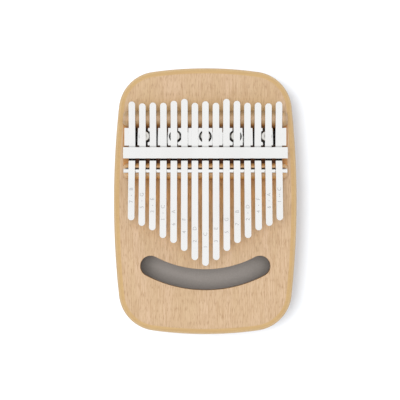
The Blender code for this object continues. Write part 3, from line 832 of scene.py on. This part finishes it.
def make_tine(number, steel, etched):
    """A tine as one strip that bends over the front rod, with its note mark."""
    root, reed = f"tine_{number:02d}_root", f"tine_{number:02d}_reed"
    (reed_low, reed_high), (_, root_high) = node_box(reed), node_box(root)
    x, tip = (reed_low.x + reed_high.x) / 2, reed_low.y
    stations = tine_stations(tip, root_high.y)
    bm = bmesh.new()
    rows = [[bm.verts.new((x + side * half, y, tine_top(y))) for side in (-1, 1)] for y, half in stations]
    for (a, b), (c, d) in zip(rows, rows[1:]):
        bm.faces.new((a, b, d, c))
    strip = mesh_object(f"tine_{number:02d}_strip", bm)
    face_up(strip)
    modify(strip, "SOLIDIFY", thickness=TINE_THICKNESS * MM, offset=-1.0)
    bevel(strip, TINE_EDGE, 3, 60)
    settle(strip, radians(50))
    finish_piece(strip, steel, "spring_steel", root, reed, body=None)

    marks = note_mark(f"tine_{number:02d}_note", NOTES[number - 1], x, tip)
    finish_piece(marks, etched, "spring_steel", body=None)
    for piece in (strip, marks):
        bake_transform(piece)


def glyph(text, x, y):
    """A character's (x, y) points and its faces, turned to be read from the tip to the bridge."""
    curve = bpy.data.curves.new("glyph", "FONT")
    curve.body = text
    curve.size = MARK_SIZE
    curve.align_x, curve.align_y = "CENTER", "CENTER"
    curve.resolution_u = 4
    obj = new_object("glyph", curve)
    bpy.context.view_layer.update()
    mesh = bpy.data.meshes.new_from_object(obj.evaluated_get(bpy.context.evaluated_depsgraph_get()))
    points = [(x - v.co.y, y + v.co.x) for v in mesh.vertices]
    faces = [tuple(p.vertices) for p in mesh.polygons]
    bpy.data.objects.remove(obj)
    bpy.data.meshes.remove(mesh)
    return points, faces


def note_mark(name, note, x, tip):
    """The etched name of a note: its number, its letter, and a dot or two for a higher octave."""
    bm = bmesh.new()
    shapes = [glyph(note[1], x, tip + NUMBER_FROM_TIP), glyph(note[0], x, tip + LETTER_FROM_TIP)]
    middle = tip + (NUMBER_FROM_TIP + LETTER_FROM_TIP) / 2
    turns = [2 * pi * i / 10 for i in range(10)]
    for along in {".": (0.0,), ":": (-DOT_SPACING / 2, DOT_SPACING / 2)}.get(note[2:], ()):
        ring = [(x + DOT_RADIUS * cos(t), middle + along + DOT_RADIUS * sin(t)) for t in turns]
        shapes.append((ring, [tuple(range(10))]))
    for points, faces in shapes:
        verts = [bm.verts.new((px, py, tine_top(py) + MARK_LIFT)) for px, py in points]
        for face in faces:
            bm.faces.new([verts[i] for i in face])
    bmesh.ops.remove_doubles(bm, verts=bm.verts, dist=0.002)
    made = mesh_object(name, bm)
    face_up(made)
    modify(made, "SOLIDIFY", thickness=MARK_DEPTH * MM, offset=-1.0)
    return settle(made)


# ---------------------------------------------------------------- studio


def set_stops(node, stops):
    """Gives a colour ramp its (place, colour) stops."""
    elements = node.color_ramp.elements
    while len(elements) < len(stops):
        elements.new(0.5)
    for element, (place, colour) in zip(elements, stops):
        element.position = place
        element.color = colour


def make_world():
    """A room that is bright overhead and dim near the horizon. The camera itself sees a plain backdrop."""
    world = bpy.data.worlds.new("studio")
    world.use_nodes = True
    bpy.context.scene.world = world
    tree = world.node_tree
    coords = tree.nodes.new("ShaderNodeTexCoord")
    parts = tree.nodes.new("ShaderNodeSeparateXYZ")
    ramp = tree.nodes.new("ShaderNodeValToRGB")
    set_stops(ramp, [(place, (level, level, level, 1.0)) for place, level in WORLD_LEVELS])
    tree.links.new(coords.outputs["Generated"], parts.inputs[0])
    tree.links.new(parts.outputs["Z"], ramp.inputs[0])
    rays = tree.nodes.new("ShaderNodeLightPath")
    mix = tree.nodes.new("ShaderNodeMix")
    mix.data_type = "RGBA"
    mix.inputs[7].default_value = BACKDROP
    tree.links.new(rays.outputs["Is Camera Ray"], mix.inputs[0])
    tree.links.new(ramp.outputs[0], mix.inputs[6])
    tree.links.new(mix.outputs[2], tree.nodes["Background"].inputs[0])
    tree.nodes["Background"].inputs[1].default_value = WORLD_STRENGTH


def area_light(name, place, size, power):
    """A square lamp aimed at the part. It isn't mirrored in the steel."""
    data = bpy.data.lights.new(name, "AREA")
    data.shape = "RECTANGLE"
    data.size = data.size_y = size
    data.energy = power
    light = new_object(name, data)
    light.location = place
    light.visible_glossy = False
    light.rotation_euler = (Vector(LIGHT_TARGET) - Vector(place)).to_track_quat("-Z", "Y").to_euler()
    return light


def link_light(light, piece, state):
    """Lets a light reach only one piece (INCLUDE), or all but it (EXCLUDE). Shadows are as before."""
    receivers = bpy.data.collections.new(light.name + "_receivers")
    receivers.objects.link(piece)
    receivers.collection_objects[0].light_linking.link_state = state
    light.light_linking.receiver_collection = receivers


def make_floor():
    bm = bmesh.new()
    bmesh.ops.create_grid(bm, x_segments=2, y_segments=2, size=FLOOR_HALF_SIZE)
    floor = mesh_object("floor", bm)
    floor.location.z = -FLOOR_DROP * MM
    dress(floor, speckled_material("pale_floor", 0.4, 3.0, FLOOR_PAINT, (0.9, 0.9), Specular_IOR_Level=0.1))
    return floor


def make_camera():
    data = bpy.data.cameras.new("camera")
    data.lens = CAMERA_LENS
    data.sensor_width = 36.0
    data.clip_start, data.clip_end = 0.02, 20.0
    camera = new_object("camera", data)
    camera.location = Vector(CAMERA_PLACE) * MM
    bpy.context.scene.camera = camera


# ---------------------------------------------------------------- the scene


for startup in list(bpy.data.objects):
    bpy.data.objects.remove(startup)
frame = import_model()

make_camera()
make_world()
floor = make_floor()
overhead = area_light("overhead", OVERHEAD_PLACE, OVERHEAD_SIZE, OVERHEAD_POWER)
floor_key = area_light("floor_key", FLOOR_KEY_PLACE, FLOOR_KEY_SIZE, FLOOR_KEY_POWER)
link_light(overhead, floor, "EXCLUDE")
link_light(floor_key, floor, "INCLUDE")
bpy.context.scene.view_settings.view_transform = "Standard"

veneer = veneer_material()
body_wood = wood_material("beech_body", *BODY_WOOD, 11.0, BODY_CREVICE_TINT)
bridge_wood = wood_material("beech_bridge", *BRIDGE_WOOD, 31.0, BRIDGE_CREVICE_TINT, of_bridge=True)
plated = metal_material("nickel_plate", PLATING, 0.05, PLATE_GRAIN, 0.01)
# the strips and the bar get painted shade on their undersides
spring = metal_material("spring_steel", SPRING_STEEL, 0.08, STRIP_GRAIN, 0.01, UNDERSIDE_SHADE_BELOW, UNDERSIDE_SHADE_HALF)
bar_steel = metal_material("bar_steel", PLATING, 0.09, PLATE_GRAIN, 0.02, shade_below=-0.2)
screw_steel = metal_material("screw_steel", SCREW_STEEL, 0.2, SCREW_GRAIN, 0.03)
fibre = speckled_material("black_fibre", 3.0, 3.0, BLACK_FIBRE, (0.5, 0.7), Specular_IOR_Level=0.25)
etched = speckled_material("etched_mark", 2.5, 2.0, ETCHED, (0.4, 0.5), Metallic=0.9)

make_box(veneer, body_wood, card_material())
make_bridge(bridge_wood, plated, bar_steel)
for node in sorted(frame["nodes"]):
    if node.startswith("bridge_screw"):
        make_screw(node, screw_steel, fibre)
    if node.startswith("clamp_bolt"):
        dress(frame["nodes"][node], plated)
for number in range(1, TINE_COUNT + 1):
    make_tine(number, spring, etched)
